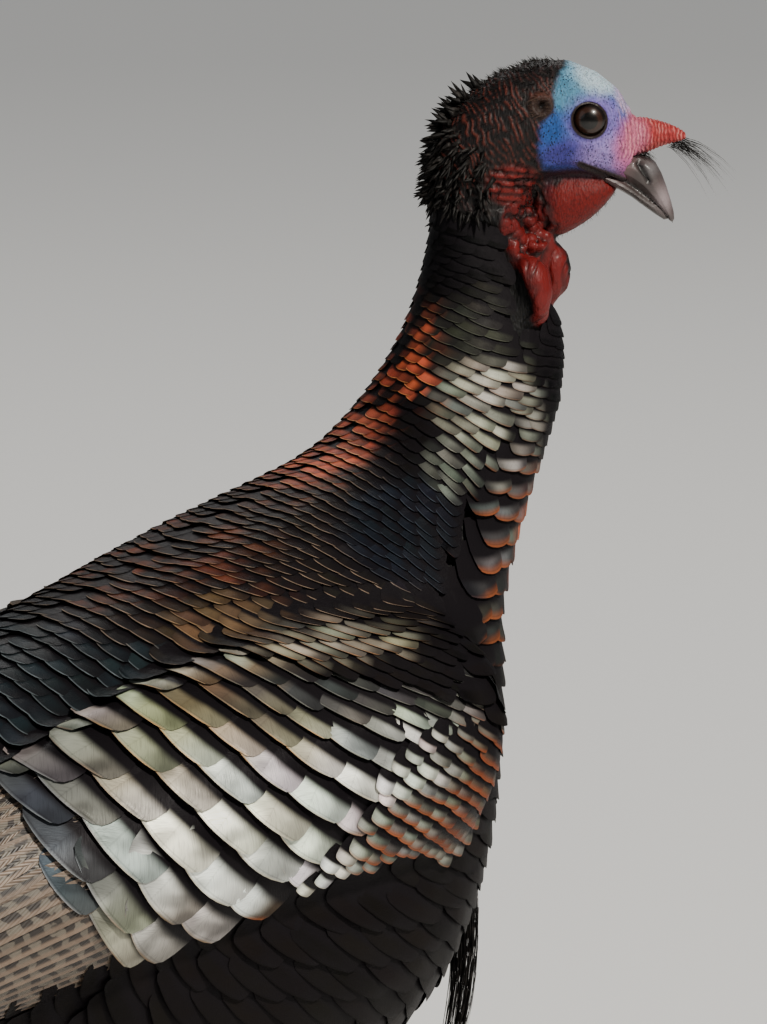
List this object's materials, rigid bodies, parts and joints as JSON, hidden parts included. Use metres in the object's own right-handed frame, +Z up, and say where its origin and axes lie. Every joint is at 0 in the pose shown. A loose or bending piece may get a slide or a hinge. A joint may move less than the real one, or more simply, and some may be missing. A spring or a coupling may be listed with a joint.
{
  "type": "wild turkey",
  "caption": "Life-size still model of an adult male wild turkey, standing with its neck raised and its head turned to its right, for display on a floor.",
  "frame": {"origin": "on the floor, under the middle of the model's box", "axes": "+X forwards along the body, +Y to the bird's left, +Z up"},
  "size_m": [0.8172, 0.2786, 0.7974],
  "materials": {
    "body_plumage": "glossy iridescent brown-black feathers with copper and bronze edges",
    "wing_plumage": "glossy iridescent grey-bronze coverts over barred black and white quills",
    "tail_plumage": "brown feathers with fine black bars, a black band and chestnut tips",
    "head_skin": "bare blue and violet skin, dark and ridged behind the ear",
    "red_skin": "bare deep red skin, wrinkled and beaded",
    "horn": "smooth grey-brown horn",
    "leg_skin": "scaled pinkish grey skin",
    "eye": "wet dark brown eye",
    "bristle": "coarse black bristles"
  },
  "bodies": {
    "root": {"beard": "bristle", "bill_lower": "horn", "bill_upper": "horn", "caruncle_beads": "red_skin", "caruncle_left": "red_skin", "caruncle_right": "red_skin", "claw_hind_left": "horn", "claw_hind_right": "horn", "claw_inner_left": "horn", "claw_inner_right": "horn", "claw_middle_left": "horn", "claw_middle_right": "horn", "claw_outer_left": "horn", "claw_outer_right": "horn", "dewlap": "red_skin", "ear_left": "head_skin", "ear_right": "head_skin", "eye_left": "eye", "eye_right": "eye", "head": "head_skin", "neck": "body_plumage", "shank_left": "leg_skin", "shank_right": "leg_skin", "snood": "red_skin", "spur_left": "horn", "spur_right": "horn", "tail": "tail_plumage", "tail_coverts_lower": "tail_plumage", "tail_coverts_upper": "tail_plumage", "thigh_left": "body_plumage", "thigh_right": "body_plumage", "toe_hind_left": "leg_skin", "toe_hind_right": "leg_skin", "toe_inner_left": "leg_skin", "toe_inner_right": "leg_skin", "toe_middle_left": "leg_skin", "toe_middle_right": "leg_skin", "toe_outer_left": "leg_skin", "toe_outer_right": "leg_skin", "trunk": "body_plumage", "wing_left": "wing_plumage", "wing_right": "wing_plumage"}
  },
  "joints": []
}
